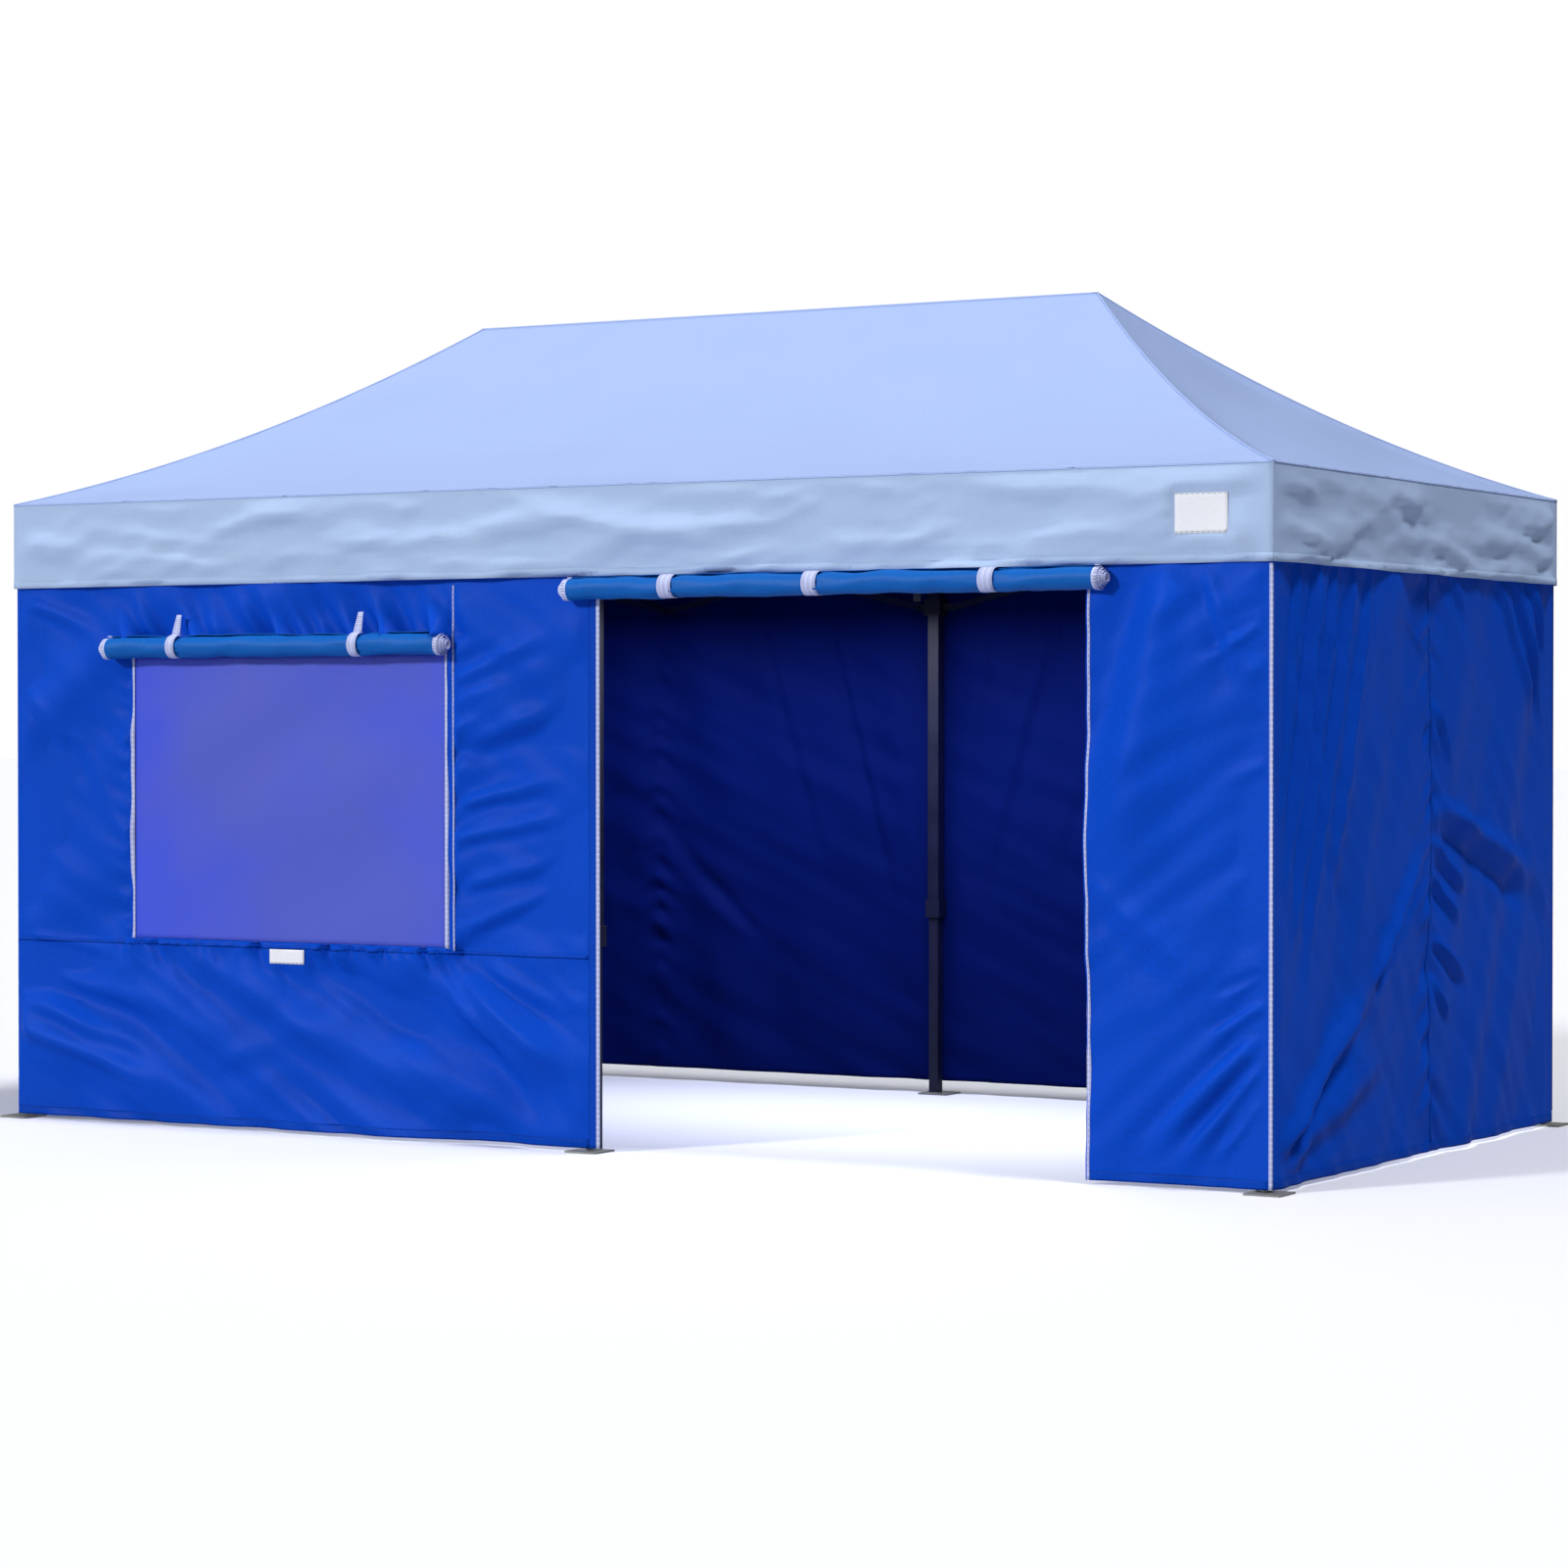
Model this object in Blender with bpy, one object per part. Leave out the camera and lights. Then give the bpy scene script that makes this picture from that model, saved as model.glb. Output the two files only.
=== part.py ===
"""Pop up canopy: six telescoping legs on two square bays, scissor bars between them, peak posts,
a hip roof cover with valance and a full set of side walls. Metres, +Z up, origin on the ground
at the centre, front towards -Y. The frame folds at the scissor pivots, on which the bars'
origins lie. All six sides have the same span, so one angle drives every bar."""

from math import cos, hypot, pi, sin, atan2

import bmesh
import bpy
from mathutils import Matrix, Vector

# Driving dimensions
BAY = 2.40  # spacing of the leg axes, the same both ways
LEG_OUTER = 0.045  # square tube, outside
LEG_WALL = 0.0025
LEG_INNER = 0.038
OUTER_BOTTOM = 0.675
BRACKET_TOP = 2.15
INNER_TOP = 1.35
TOP_PIVOT_Z = 2.12
TRUSS_DROP = 0.26  # from the top pivots down to the sliders' pivots
PIVOT_OFFSET = 0.07  # from a leg's axis to its pivots
EAVE_Z = 2.20
PEAK_Z = 2.88
RIDGE_HALF = 1.26  # half the ridge, which runs a little past the posts
VALANCE_DROP = 0.30
ROOF_SAG = 0.41  # share by which the slope is steeper at the peak than on average
FABRIC = 0.004  # thickness of the fabric solids
WALL_OUT = 0.038  # from the leg axes to the inner face of the walls
VALANCE_OUT = 0.045  # from the leg axes to the inner face of the valance
HEM_Z = 0.012
BACK_HEM_Z = 0.05

# Frame details
BAR_WIDTH = 0.025
BAR_THICK = 0.012
BAR_GAP = 0.003  # from the mid plane of a side to each layer of bars
PIN_R = 0.004
HOLE_R = 0.0047
PIN_END = 0.0165  # how far a pin runs past the mid plane
LONG_PIN_END = 0.0222  # where it carries a mid bracket too
LUG_HALF = 0.002
LUG_LENGTH = 0.043
COLLAR = 0.069
COLLAR_BORE = 0.047
COLLAR_HEIGHT = 0.06
LOCK_COLLAR = 0.058
LOCK_HEIGHT = 0.07
FOOT_SIZE = 0.12
FOOT_SHIFT = 0.03  # the plates stand out past the walls
FOOT_THICK = 0.005
BRACKET_REACH = 0.04  # from the front scissors' mid plane in to the peak arm's pivot
POST_REACH = PIVOT_OFFSET - BRACKET_REACH  # from the post's axis out to it
MID_BRACKET_LOW = 0.0195
MID_BRACKET_HIGH = 0.0235
MID_BRACKET_DROP = 0.06
POST_SIZE = 0.025
POST_BOTTOM = 2.04
CAP_TOP = PEAK_Z - 0.018
CAP_HEIGHT = 0.035
CAP_R = 0.034

# Walls
TAPE_EDGE = 0.022  # the front left wall covers the middle leg up to here
DOOR_LEFT = 0.026
DOOR_RIGHT = 1.83
DOOR_ROLL_R = 0.032
DOOR_ROLL_Z = 1.863
DOOR_ROLL_OUT = 0.0575
DOOR_ROLL_ENDS = (0.042, 1.875)
HEADER_BOTTOM = 1.872
WALL_TOP = 2.10
WINDOW_LEFT = -1.906
WINDOW_RIGHT = -0.568
WINDOW_BOTTOM = 0.66
WINDOW_TOP = 1.655
FILM_GAP = 0.0005
FILM_THICK = 0.001
FILM_TOP = 1.652
WINDOW_ROLL_R = 0.027
WINDOW_ROLL_Z = 1.681
WINDOW_ROLL_OUT = 0.050
WINDOW_ROLL_ENDS = (-1.985, -0.555)
SEAM_GAP = 0.0055
APEX_START = 0.014  # the end slopes start this far from the peaks
CORNER_GAP = 0.0005

# Worked out
SPAN = (BAY - 2 * PIVOT_OFFSET) / 2  # across one crossed pair
BAR_LENGTH = hypot(SPAN, TRUSS_DROP)
SLOPE = atan2(TRUSS_DROP, SPAN)
LOW_PIVOT_Z = TOP_PIVOT_Z - TRUSS_DROP
HALF_DEPTH = BAY / 2
EAVE_Y = HALF_DEPTH + VALANCE_OUT + FABRIC
EAVE_X = BAY + VALANCE_OUT + FABRIC
UP = Vector((0, 0, 1))

LEGS = {
    "front_mid": (0, -HALF_DEPTH),
    "front_left": (-BAY, -HALF_DEPTH),
    "front_right": (BAY, -HALF_DEPTH),
    "back_left": (-BAY, HALF_DEPTH),
    "back_mid": (0, HALF_DEPTH),
    "back_right": (BAY, HALF_DEPTH),
}
# Each side: the leg it starts from, the leg it reaches, and the direction it faces
SIDES = {
    "front_left": ("front_mid", "front_left", (0, -1, 0)),
    "front_right": ("front_mid", "front_right", (0, -1, 0)),
    "left": ("front_left", "back_left", (-1, 0, 0)),
    "right": ("front_right", "back_right", (1, 0, 0)),
    "back_left": ("back_left", "back_mid", (0, 1, 0)),
    "back_right": ("back_right", "back_mid", (0, 1, 0)),
}


def clear_scene():
    for obj in list(bpy.data.objects):
        bpy.data.objects.remove(obj)


def material(name, colour, roughness, metallic=0.0):
    made = bpy.data.materials.new(name)
    made.use_nodes = True
    shader = made.node_tree.nodes["Principled BSDF"]
    shader.inputs["Base Color"].default_value = (*colour, 1)
    shader.inputs["Roughness"].default_value = roughness
    shader.inputs["Metallic"].default_value = metallic
    return made


def place(name, bm, finish, matrix=None):
    """Makes the mesh an object. Its origin goes where the matrix says, on the piece's joint."""
    bmesh.ops.recalc_face_normals(bm, faces=bm.faces[:])
    mesh = bpy.data.meshes.new(name)
    bm.to_mesh(mesh)
    bm.free()
    mesh.materials.append(finish)
    obj = bpy.data.objects.new(name, mesh)
    bpy.context.scene.collection.objects.link(obj)
    obj.matrix_world = matrix or Matrix.Identity(4)
    return obj


def merge(obj, tool, operation="UNION"):
    """Joins a helper to the object, or cuts it out of it."""
    tool.hide_render = True
    tool.display_type = "WIRE"
    modifier = obj.modifiers.new(tool.name, "BOOLEAN")
    modifier.operation = operation
    modifier.object = tool
    modifier.solver = "EXACT"


def axes_frame(origin, along, normal):
    """A frame at the origin with X along a piece and Z along the normal."""
    along, normal = Vector(along).normalized(), Vector(normal)
    turned = Matrix((along, normal.cross(along), normal)).transposed().to_4x4()
    return Matrix.Translation(origin) @ turned


def box(bm, low, high):
    low, high = Vector(low), Vector(high)
    size = Matrix.Diagonal((*(high - low), 1))
    bmesh.ops.create_cube(bm, size=1, matrix=Matrix.Translation((low + high) / 2) @ size)


def circle(radius, x=0.0, sides=8):
    return [(x + radius * cos(2 * pi * i / sides), radius * sin(2 * pi * i / sides)) for i in range(sides)]


def rectangle(half_x, half_y):
    return [(half_x, half_y), (-half_x, half_y), (-half_x, -half_y), (half_x, -half_y)]


def capsule(start, end, radius, sides=6, square_start=False):
    """The outline of a flat bar with round ends."""
    points = []
    for i in range(sides + 1):
        turn = -pi / 2 + pi * i / sides
        points.append((end + radius * cos(turn), radius * sin(turn)))
    if square_start:
        return points + [(start, radius), (start, -radius)]
    for i in range(sides + 1):
        turn = pi / 2 + pi * i / sides
        points.append((start + radius * cos(turn), radius * sin(turn)))
    return points


def draw_loop(bm, points, z):
    verts = [bm.verts.new((x, y, z)) for x, y in points]
    return [bm.edges.new((verts[i - 1], verts[i])) for i in range(len(verts))]


def flat_piece(outline, low, high, holes=(), pins=()):
    """An outline with holes, from low to high, with pins that run down past it to their own ends."""
    bm = bmesh.new()
    edges = draw_loop(bm, outline, high)
    for hole in holes:
        edges += draw_loop(bm, hole, high)
    caps = []
    for pin, end in pins:
        ring = draw_loop(bm, pin, high)
        edges += ring
        caps.append((ring, end))
    bmesh.ops.triangle_fill(bm, edges=edges, use_beauty=True)
    for ring, end in caps:
        bmesh.ops.contextual_create(bm, geom=ring)
    pin_centres = [sum((Vector((*p, 0)) for p in pin), Vector()) / len(pin) for pin, end in pins]
    made = bmesh.ops.extrude_face_region(bm, geom=bm.faces[:])
    lower = [v for v in made["geom"] if isinstance(v, bmesh.types.BMVert)]
    bmesh.ops.translate(bm, verts=lower, vec=(0, 0, low - high))
    for centre, (pin, end) in zip(pin_centres, pins):
        face = min(
            (f for f in bm.faces if abs(f.calc_center_median().z - low) < 1e-6 and len(f.verts) == len(pin)),
            key=lambda f: (f.calc_center_median().xy - centre.xy).length,
        )
        made = bmesh.ops.extrude_face_region(bm, geom=[face])
        bmesh.ops.delete(bm, geom=[face], context="FACES_ONLY")
        tip = [v for v in made["geom"] if isinstance(v, bmesh.types.BMVert)]
        bmesh.ops.translate(bm, verts=tip, vec=(0, 0, end - low))
    return bm


def bar_mesh(first, outer_layer, end_pin=PIN_END):
    """A scissor bar that starts at x = first, with its pivots at both ends and in the middle."""
    stops = (first, first + BAR_LENGTH / 2, first + BAR_LENGTH)
    outline = capsule(first, first + BAR_LENGTH, BAR_WIDTH / 2)
    if outer_layer:
        ends = (-PIN_END, -PIN_END, -end_pin)
        pins = [(circle(PIN_R, x), end) for x, end in zip(stops, ends)]
        return flat_piece(outline, BAR_GAP, BAR_GAP + BAR_THICK, pins=pins)
    return flat_piece(outline, -BAR_GAP - BAR_THICK, -BAR_GAP, holes=[circle(HOLE_R, x) for x in stops])


def lug_mesh(with_pin):
    """A plate that reaches from a bracket to a pivot at its origin, with a pin or a hole there."""
    outline = capsule(-LUG_LENGTH, 0, BAR_WIDTH / 2, square_start=True)
    if with_pin:
        return flat_piece(outline, -LUG_HALF, LUG_HALF, pins=[(circle(PIN_R), -PIN_END)])
    return flat_piece(outline, -LUG_HALF, LUG_HALF, holes=[circle(HOLE_R)])


def side_frame(side):
    """The start and end leg of a side, its direction and the way it faces."""
    start, end, facing = SIDES[side]
    first = Vector((*LEGS[start], 0))
    last = Vector((*LEGS[end], 0))
    return first, last, (last - first).normalized(), Vector(facing)


def add_lugs(obj, leg, height, low_row, finish):
    """Every side that meets the leg gets its lug. Outer-layer bars bring their own pins."""
    for side, (start, end, facing) in SIDES.items():
        first, last, along, normal = side_frame(side)
        if leg == start:
            pivot, outward, with_pin = first + along * PIVOT_OFFSET, along, low_row
        elif leg == end:
            pivot, outward, with_pin = last - along * PIVOT_OFFSET, -along, not low_row
        else:
            continue
        frame = axes_frame(pivot + UP * height, outward, normal)
        merge(obj, place(f"{obj.name}_{side}_lug", lug_mesh(with_pin), finish, frame))


def make_outer_leg(leg, x, y, finish):
    low, high = OUTER_BOTTOM, BRACKET_TOP - COLLAR_HEIGHT / 2
    half = LEG_OUTER / 2
    tube = flat_piece(rectangle(half, half), low, high, holes=[rectangle(half - LEG_WALL, half - LEG_WALL)])
    frame = Matrix.Translation((x, y, 0))
    obj = place(f"outer_leg_{leg}", tube, finish, frame)
    block = bmesh.new()
    box(block, (-COLLAR / 2, -COLLAR / 2, BRACKET_TOP - COLLAR_HEIGHT), (COLLAR / 2, COLLAR / 2, BRACKET_TOP))
    merge(obj, place(f"{obj.name}_bracket", block, finish, frame))
    lock_half, bore_half = LOCK_COLLAR / 2, half - LEG_WALL / 2
    lock = flat_piece(
        rectangle(lock_half, lock_half), low + 0.002, low + LOCK_HEIGHT, holes=[rectangle(bore_half, bore_half)]
    )
    merge(obj, place(f"{obj.name}_lock", lock, finish, frame))
    add_lugs(obj, leg, TOP_PIVOT_Z, False, finish)


def make_inner_leg(leg, x, y, finish):
    half = LEG_INNER / 2
    tube = flat_piece(
        rectangle(half, half), FOOT_THICK / 2, INNER_TOP, holes=[rectangle(half - LEG_WALL, half - LEG_WALL)]
    )
    frame = Matrix.Translation((x, y, 0))
    obj = place(f"inner_leg_{leg}", tube, finish, frame)
    shift_x = FOOT_SHIFT * (x > 0) - FOOT_SHIFT * (x < 0)
    shift_y = FOOT_SHIFT * (y > 0) - FOOT_SHIFT * (y < 0)
    foot = bmesh.new()
    box(
        foot,
        (shift_x - FOOT_SIZE / 2, shift_y - FOOT_SIZE / 2, 0),
        (shift_x + FOOT_SIZE / 2, shift_y + FOOT_SIZE / 2, FOOT_THICK),
    )
    merge(obj, place(f"{obj.name}_foot", foot, finish, frame))


def make_slider(leg, x, y, finish):
    low = LOW_PIVOT_Z - COLLAR_HEIGHT / 2
    bore = COLLAR_BORE / 2
    ring = flat_piece(
        rectangle(COLLAR / 2, COLLAR / 2), low, low + COLLAR_HEIGHT, holes=[rectangle(bore, bore)]
    )
    obj = place(f"slider_{leg}", ring, finish, Matrix.Translation((x, y, 0)))
    add_lugs(obj, leg, LOW_PIVOT_Z, True, finish)


def make_scissors(side, finish):
    """Bars 1 and 2 cross next to the start leg, bars 3 and 4 next to the end leg."""
    first, last, along, normal = side_frame(side)
    down = along * cos(SLOPE) - UP * sin(SLOPE)
    rise = along * cos(SLOPE) + UP * sin(SLOPE)
    top = first + along * PIVOT_OFFSET + UP * TOP_PIVOT_Z
    middle_low = top + along * SPAN - UP * TRUSS_DROP
    half_step = along * SPAN / 2 - UP * TRUSS_DROP / 2
    far_cross = top + half_step + along * SPAN
    half = BAR_LENGTH / 2
    long_pin = LONG_PIN_END if side.startswith("front") else PIN_END
    name = f"scissor_{side}_"
    place(name + "1", bar_mesh(0, True, long_pin), finish, axes_frame(top, down, normal))
    place(name + "2", bar_mesh(-half, False), finish, axes_frame(top + half_step, rise, normal))
    place(name + "3", bar_mesh(0, False), finish, axes_frame(middle_low, rise, normal))
    place(name + "4", bar_mesh(-half, True), finish, axes_frame(far_cross, down, normal))


def arm_mesh():
    """A peak arm, with a pin at each end."""
    outline = capsule(0, BAR_LENGTH, BAR_WIDTH / 2)
    pins = [(circle(PIN_R, x), -PIN_END / 3) for x in (0, BAR_LENGTH)]
    return flat_piece(outline, BAR_GAP, BAR_GAP + BAR_THICK, pins=pins)


def make_peak(side, x, steel, plastic):
    """The mid bracket on the front scissors, the post and its two arms."""
    bracket_y = -HALF_DEPTH + BRACKET_REACH
    half = BAR_WIDTH / 2
    outline = [(half, -half), (-half, -half), (-half, MID_BRACKET_DROP), (half, MID_BRACKET_DROP)]
    plate = flat_piece(outline, MID_BRACKET_LOW, MID_BRACKET_HIGH, holes=[circle(HOLE_R)])
    pivot = Vector((x, -HALF_DEPTH, LOW_PIVOT_Z))
    obj = place(f"mid_bracket_{side}", plate, steel, axes_frame(pivot, (1, 0, 0), (0, 1, 0)))
    lug = capsule(MID_BRACKET_HIGH - 0.0007 - BRACKET_REACH, 0, half, square_start=True)
    lug_frame = axes_frame((x, bracket_y, LOW_PIVOT_Z), (0, 1, 0), (1, 0, 0))
    lug_piece = flat_piece(lug, -LUG_HALF, LUG_HALF, holes=[circle(HOLE_R)])
    merge(obj, place(f"{obj.name}_lug", lug_piece, steel, lug_frame))

    rise = Vector((0, cos(SLOPE), sin(SLOPE)))
    drop = Vector((0, cos(SLOPE), -sin(SLOPE)))
    facing = (1, 0, 0)
    place(f"peak_arm_front_{side}", arm_mesh(), steel, axes_frame((x, bracket_y, LOW_PIVOT_Z), rise, facing))
    place(f"peak_arm_back_{side}", arm_mesh(), steel, axes_frame((x, POST_REACH, TOP_PIVOT_Z), drop, facing))

    half = POST_SIZE / 2
    shaft = bmesh.new()
    box(shaft, (-half, -half, POST_BOTTOM - TOP_PIVOT_Z), (half, half, CAP_TOP - CAP_HEIGHT / 2 - TOP_PIVOT_Z))
    frame = Matrix.Translation((x, 0, TOP_PIVOT_Z))
    post = place(f"peak_post_{side}", shaft, steel, frame)
    cap = bmesh.new()
    centre = Matrix.Translation((0, 0, CAP_TOP - CAP_HEIGHT / 2 - TOP_PIVOT_Z))
    bmesh.ops.create_cone(
        cap, cap_ends=True, segments=16, radius1=CAP_R, radius2=CAP_R / 5, depth=CAP_HEIGHT, matrix=centre
    )
    merge(post, place(f"{post.name}_cap", cap, plastic, frame))
    for outward in (-1, 1):
        outline = capsule(-POST_REACH, 0, BAR_WIDTH / 2, square_start=True)
        piece = flat_piece(outline, -LUG_HALF, LUG_HALF, holes=[circle(HOLE_R)])
        lug_frame = axes_frame((x, outward * POST_REACH, TOP_PIVOT_Z), (0, outward, 0), facing)
        merge(post, place(f"{post.name}_lug_{outward + 1}", piece, steel, lug_frame))


def roof_drop(share):
    """How far the roof has come down at this share of its run, steeper near the ridge."""
    return (PEAK_Z - EAVE_Z) * ((1 + ROOF_SAG) * share - ROOF_SAG * share * share)


def make_roof_panel(name, ridge_half, eave_half, run, matrix, finish, steps=6):
    """One slope with its valance, seen with the eave along X and the slope running down towards -Y.
    Its origin is on the ridge."""
    start = SEAM_GAP if ridge_half else APEX_START
    bm = bmesh.new()
    rows = []
    for i in range(steps + 1):
        share = max(i / steps, start / run)
        half = ridge_half + (eave_half - ridge_half) * share - SEAM_GAP
        rows.append([bm.verts.new((side * half, -run * share, -roof_drop(share))) for side in (-1, 1)])
    foot = rows[-1]
    rows.append([bm.verts.new(v.co - UP * VALANCE_DROP) for v in foot])
    for upper, lower in zip(rows, rows[1:]):
        bm.faces.new((upper[0], lower[0], lower[1], upper[1]))
    obj = place(name, bm, finish, matrix)
    skin = obj.modifiers.new("Fabric", "SOLIDIFY")
    skin.thickness = FABRIC
    skin.offset = -1
    skin.use_even_offset = True


def make_roof(finish):
    end_run = EAVE_X - RIDGE_HALF
    for name, ridge_half, eave_half, run, x, turn in (
        ("roof_front", RIDGE_HALF, EAVE_X, EAVE_Y, 0, 0),
        ("roof_right", 0, EAVE_Y, end_run, RIDGE_HALF, pi / 2),
        ("roof_back", RIDGE_HALF, EAVE_X, EAVE_Y, 0, pi),
        ("roof_left", 0, EAVE_Y, end_run, -RIDGE_HALF, -pi / 2),
    ):
        matrix = Matrix.Translation((x, 0, PEAK_Z)) @ Matrix.Rotation(turn, 4, "Z")
        make_roof_panel(name, ridge_half, eave_half, run, matrix, finish)


def roll_mesh(ends, out, z, radius):
    """A fabric roll along X in front of the front walls."""
    bm = bmesh.new()
    middle = Vector((sum(ends) / 2, -HALF_DEPTH - out, z))
    matrix = Matrix.Translation(middle) @ Matrix.Rotation(pi / 2, 4, "Y")
    bmesh.ops.create_cone(
        bm, cap_ends=True, segments=12, radius1=radius, radius2=radius, depth=ends[1] - ends[0], matrix=matrix
    )
    return bm


def make_wall(name, low, high, finish):
    bm = bmesh.new()
    box(bm, low, high)
    return place(name, bm, finish)


def make_front_wall(name, outline, holes, finish):
    """A front wall from its outline in X and Z."""
    inner_y = HALF_DEPTH + WALL_OUT
    frame = axes_frame((0, 0, 0), (1, 0, 0), (0, -1, 0))
    return place(name, flat_piece(outline, inner_y, inner_y + FABRIC, holes=holes), finish, frame)


def upright_rectangle(left, right, bottom, top):
    return [(left, bottom), (right, bottom), (right, top), (left, top)]


def make_walls(blue, clear):
    inner_y, outer_y = HALF_DEPTH + WALL_OUT, HALF_DEPTH + WALL_OUT + FABRIC
    inner_x, outer_x = BAY + WALL_OUT, BAY + WALL_OUT + FABRIC
    end_x = inner_x - CORNER_GAP
    for name, side in (("wall_left", -1), ("wall_right", 1)):
        x_low, x_high = sorted((side * inner_x, side * outer_x))
        make_wall(name, (x_low, -outer_y, HEM_Z), (x_high, outer_y, WALL_TOP), blue)
    make_wall("wall_back", (-end_x, inner_y, BACK_HEM_Z), (end_x, outer_y, WALL_TOP), blue)

    outline = upright_rectangle(-end_x, TAPE_EDGE, HEM_Z, WALL_TOP)
    opening = upright_rectangle(WINDOW_LEFT, WINDOW_RIGHT, WINDOW_BOTTOM, WINDOW_TOP)
    window = make_front_wall("wall_front_left", outline, [opening], blue)
    flap = roll_mesh(WINDOW_ROLL_ENDS, WINDOW_ROLL_OUT, WINDOW_ROLL_Z, WINDOW_ROLL_R)
    merge(window, place("window_flap_roll", flap, blue))
    film_y = -(inner_y + outer_y) / 2
    film_low = (WINDOW_LEFT + FILM_GAP, film_y - FILM_THICK / 2, WINDOW_BOTTOM + FILM_GAP)
    film_high = (WINDOW_RIGHT - FILM_GAP, film_y + FILM_THICK / 2, FILM_TOP)
    make_wall("window_film", film_low, film_high, clear)

    door_wall = [(DOOR_LEFT, WALL_TOP), (DOOR_LEFT, HEADER_BOTTOM), (DOOR_RIGHT, HEADER_BOTTOM)]
    door_wall += [(DOOR_RIGHT, HEM_Z), (end_x, HEM_Z), (end_x, WALL_TOP)]
    door = make_front_wall("wall_front_right", door_wall, [], blue)
    roll = roll_mesh(DOOR_ROLL_ENDS, DOOR_ROLL_OUT, DOOR_ROLL_Z, DOOR_ROLL_R)
    merge(door, place("door_roll", roll, blue))


def main():
    clear_scene()
    steel = material("powder_coated_steel", (0.05, 0.055, 0.075), 0.42, 0.6)
    zinc = material("zinc_plated_steel", (0.35, 0.35, 0.33), 0.4, 0.9)
    plastic = material("black_plastic", (0.02, 0.02, 0.025), 0.5)
    roof_fabric = material("roof_fabric", (0.45, 0.58, 0.86), 0.75)
    wall_fabric = material("wall_fabric", (0.006, 0.065, 0.55), 0.6)
    for leg, (x, y) in LEGS.items():
        make_outer_leg(leg, x, y, steel)
        make_inner_leg(leg, x, y, zinc)
        make_slider(leg, x, y, plastic)
    for side in SIDES:
        make_scissors(side, steel)
    make_peak("left", -BAY / 2, steel, plastic)
    make_peak("right", BAY / 2, steel, plastic)
    make_roof(roof_fabric)
    clear_film = material("window_film", (0.12, 0.14, 0.62), 0.3)
    make_walls(wall_fabric, clear_film)


main()
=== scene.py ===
# %% [markdown]
# # Pop up canopy
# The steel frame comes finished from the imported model. This script adds what is sewn: the roof
# cover with its valance, five side walls, a film window, two rolled-up flaps and their trims.
# Each cloth starts as a flat grid that a small function drapes over the frame, so the folds are
# real geometry, and every trim can lie on the same surface.

# %% Load the frame
import math

import bmesh
import bpy
from mathutils import Matrix, Vector, noise


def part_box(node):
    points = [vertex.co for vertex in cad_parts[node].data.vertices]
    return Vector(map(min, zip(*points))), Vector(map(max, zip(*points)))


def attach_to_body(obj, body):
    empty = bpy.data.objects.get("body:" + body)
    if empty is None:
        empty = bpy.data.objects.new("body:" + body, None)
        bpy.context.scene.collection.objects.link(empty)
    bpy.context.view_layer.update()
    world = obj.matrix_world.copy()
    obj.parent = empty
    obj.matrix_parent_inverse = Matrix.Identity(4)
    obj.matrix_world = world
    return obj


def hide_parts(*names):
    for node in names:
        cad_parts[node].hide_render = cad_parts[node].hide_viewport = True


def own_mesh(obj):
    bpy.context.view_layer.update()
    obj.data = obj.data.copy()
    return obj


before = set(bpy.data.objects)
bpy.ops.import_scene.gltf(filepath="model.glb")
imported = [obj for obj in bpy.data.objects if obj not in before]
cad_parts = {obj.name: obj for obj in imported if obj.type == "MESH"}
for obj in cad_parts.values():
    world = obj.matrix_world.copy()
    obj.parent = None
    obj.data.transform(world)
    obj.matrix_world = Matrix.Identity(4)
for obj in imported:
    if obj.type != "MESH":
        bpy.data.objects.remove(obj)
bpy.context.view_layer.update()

# %% [markdown]
# ## Sizes
# Everything is placed from the frame's own nodes, so the cloth fits whatever the frame says.
# Heights that no node gives, such as the eaves, repeat the frame's own numbers.

# %% Read the sizes off the frame
ROOF_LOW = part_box("roof_front")[0]
END_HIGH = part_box("roof_right")[1]
SIDE_LOW, SIDE_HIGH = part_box("wall_right")
BACK_LOW, BACK_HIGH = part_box("wall_back")
FILM_LOW, FILM_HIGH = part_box("window_film")
POST_LOW, POST_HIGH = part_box("peak_post_right")

EAVE_X = END_HIGH[0]
EAVE_Y = -ROOF_LOW[1]
EAVE_Z = 2.20
PEAK_Z = 2.88
RIDGE_HALF = 1.26
VALANCE_Z = ROOF_LOW[2]
ROOF_SAG = 0.41  # how hollow the slopes hang
WALL_Y = BACK_HIGH[1]
WALL_X = SIDE_HIGH[0]
WALL_TOP = SIDE_HIGH[2]
HEM_Z = SIDE_LOW[2]
BACK_HEM_Z = BACK_LOW[2]
LEG_X = POST_LOW[0] + POST_HIGH[0]
LEG_Y = LEG_X / 2
DOOR_LEFT = 0.026
DOOR_RIGHT = 1.83
HEADER_Z = 1.872  # the cloth left above the door
WINDOW = (-1.906, -0.568, 0.66, 1.655)
print("eaves", EAVE_X, EAVE_Y, "valance", VALANCE_Z, "walls", WALL_X, WALL_Y, "legs", LEG_X, LEG_Y)

# %% [markdown]
# ## Camera, floor and light
# The view is from the right of the door, at eye height, with a long lens. A low sun with a soft
# edge comes from the front left, so that the folds of the walls show. A high one lights the roof
# and grazes the right end. The surround is white to the eye but gives only part of the light, and
# a wide lamp under the roof keeps the ground inside as bright as outside.

# %% Camera
camera_data = bpy.data.cameras.new("camera")
camera_data.lens = 93.3
camera_data.sensor_width = 36
camera = bpy.data.objects.new("camera", camera_data)
camera.location = (7.30, -12.50, 1.405)
camera.rotation_euler = (math.radians(90 - 0.81), 0, math.radians(30.19))
bpy.context.scene.collection.objects.link(camera)
bpy.context.scene.camera = camera
bpy.context.scene.view_settings.view_transform = "Standard"  # keeps the strong blue as it is dyed


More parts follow.
